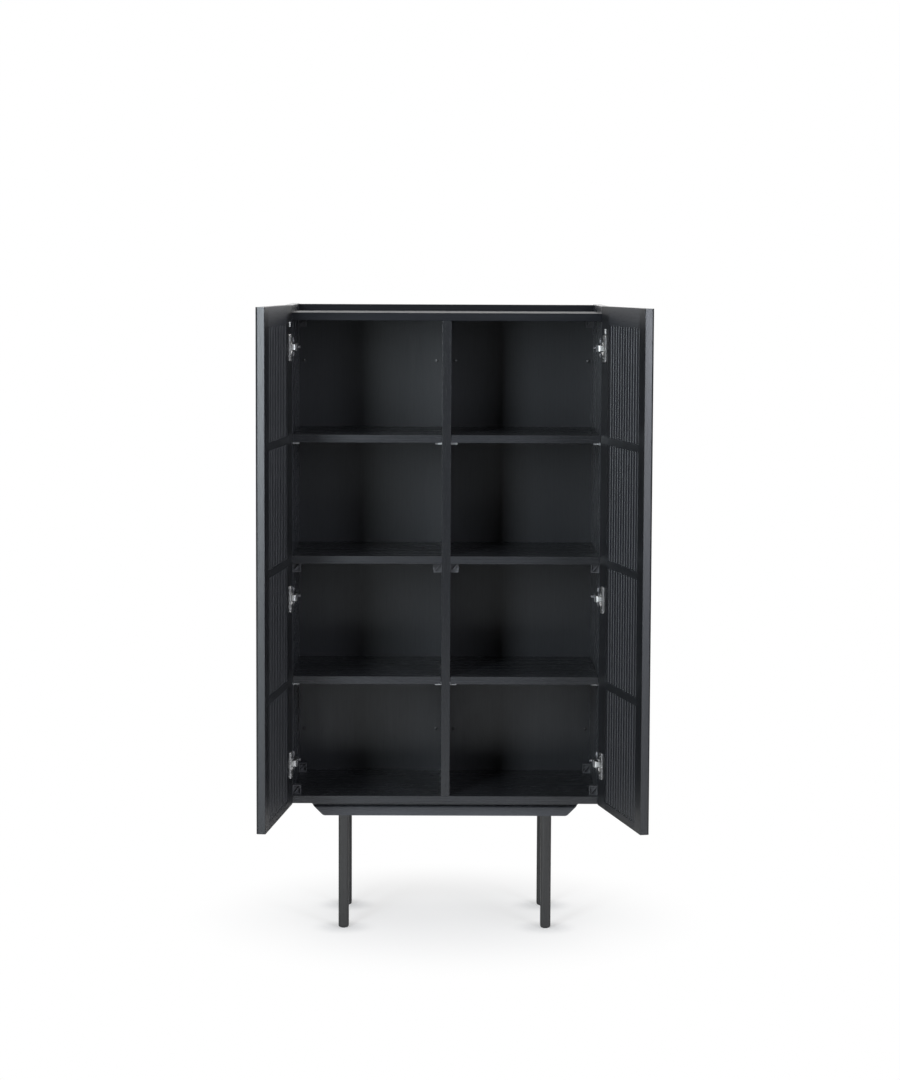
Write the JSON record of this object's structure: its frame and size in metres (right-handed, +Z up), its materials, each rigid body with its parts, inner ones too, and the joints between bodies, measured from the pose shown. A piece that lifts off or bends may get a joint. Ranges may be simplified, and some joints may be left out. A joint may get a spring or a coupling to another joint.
{
  "type": "two-door storage cabinet",
  "caption": "Tall black wooden storage cabinet with two slatted doors, shelved compartments and a tray top, on a low frame with slim legs.",
  "frame": {"origin": "on the floor, under the middle of the carcass", "axes": "+X to the cabinet's right as seen from its front, +Y to its back, +Z up; the doors open towards -Y"},
  "size_m": [0.9273, 0.7926, 1.57],
  "materials": {
    "black_veneer": "satin black stained wood veneer with fine upright grain",
    "black_back": "satin black back panel",
    "black_solid_wood": "satin black lacquered solid wood",
    "nickel": "nickel plated pressed steel",
    "zinc_steel": "zinc plated steel",
    "dark_plastic": "dark grey moulded plastic",
    "beech": "raw beech",
    "pale_felt": "pale felt"
  },
  "bodies": {
    "carcass": {"back_panel": "black_back", "back_panel_screws": "zinc_steel", "back_screw_caps": "dark_plastic", "base_screws": "zinc_steel", "bottom_panel": "black_veneer", "carcass_dowels": "beech", "centre_divider": "black_veneer", "corner_block_screws": "zinc_steel", "corner_blocks": "dark_plastic", "foot_glides": "dark_plastic", "front_base_rail": "black_solid_wood", "front_left_leg": "black_solid_wood", "front_right_leg": "black_solid_wood", "hinge_arms": "nickel", "hinge_plate_screws": "zinc_steel", "hinge_plates": "nickel", "left_fixed_shelf": "black_veneer", "left_side_panel": "black_veneer", "leg_studs": "zinc_steel", "lower_left_shelf": "black_veneer", "lower_right_shelf": "black_veneer", "rear_base_rail": "black_solid_wood", "rear_left_leg": "black_solid_wood", "rear_right_leg": "black_solid_wood", "right_fixed_shelf": "black_veneer", "right_side_panel": "black_veneer", "shelf_pins": "zinc_steel", "side_base_rails": "black_solid_wood", "top_panel": "black_veneer", "tray_back_rim": "black_solid_wood", "upper_left_shelf": "black_veneer", "upper_right_shelf": "black_veneer"},
    "left_door": {"left_door_bottom_rail": "black_solid_wood", "left_door_cup_screws": "zinc_steel", "left_door_felt_pad": "pale_felt", "left_door_free_stile": "black_solid_wood", "left_door_hinge_cups": "nickel", "left_door_hinge_stile": "black_solid_wood", "left_door_mid_rails": "black_solid_wood", "left_door_slatted_panel_1": "black_veneer", "left_door_slatted_panel_2": "black_veneer", "left_door_slatted_panel_3": "black_veneer", "left_door_slatted_panel_4": "black_veneer", "left_door_top_rail": "black_solid_wood"},
    "right_door": {"right_door_bottom_rail": "black_solid_wood", "right_door_cup_screws": "zinc_steel", "right_door_felt_pad": "pale_felt", "right_door_free_stile": "black_solid_wood", "right_door_hinge_cups": "nickel", "right_door_hinge_stile": "black_solid_wood", "right_door_mid_rails": "black_solid_wood", "right_door_slatted_panel_1": "black_veneer", "right_door_slatted_panel_2": "black_veneer", "right_door_slatted_panel_3": "black_veneer", "right_door_slatted_panel_4": "black_veneer", "right_door_top_rail": "black_solid_wood"}
  },
  "joints": [
    {"name": "left_door_hinge", "type": "hinge", "parent": "carcass", "child": "left_door", "pos_m": [-0.3925, -0.208, 0.95], "axis": [0, 0, -1], "range_deg": [-96.5, 8.5]},
    {"name": "right_door_hinge", "type": "hinge", "parent": "carcass", "child": "right_door", "pos_m": [0.3925, -0.208, 0.95], "axis": [0, 0, 1], "range_deg": [-101.5, 3.5]}
  ]
}
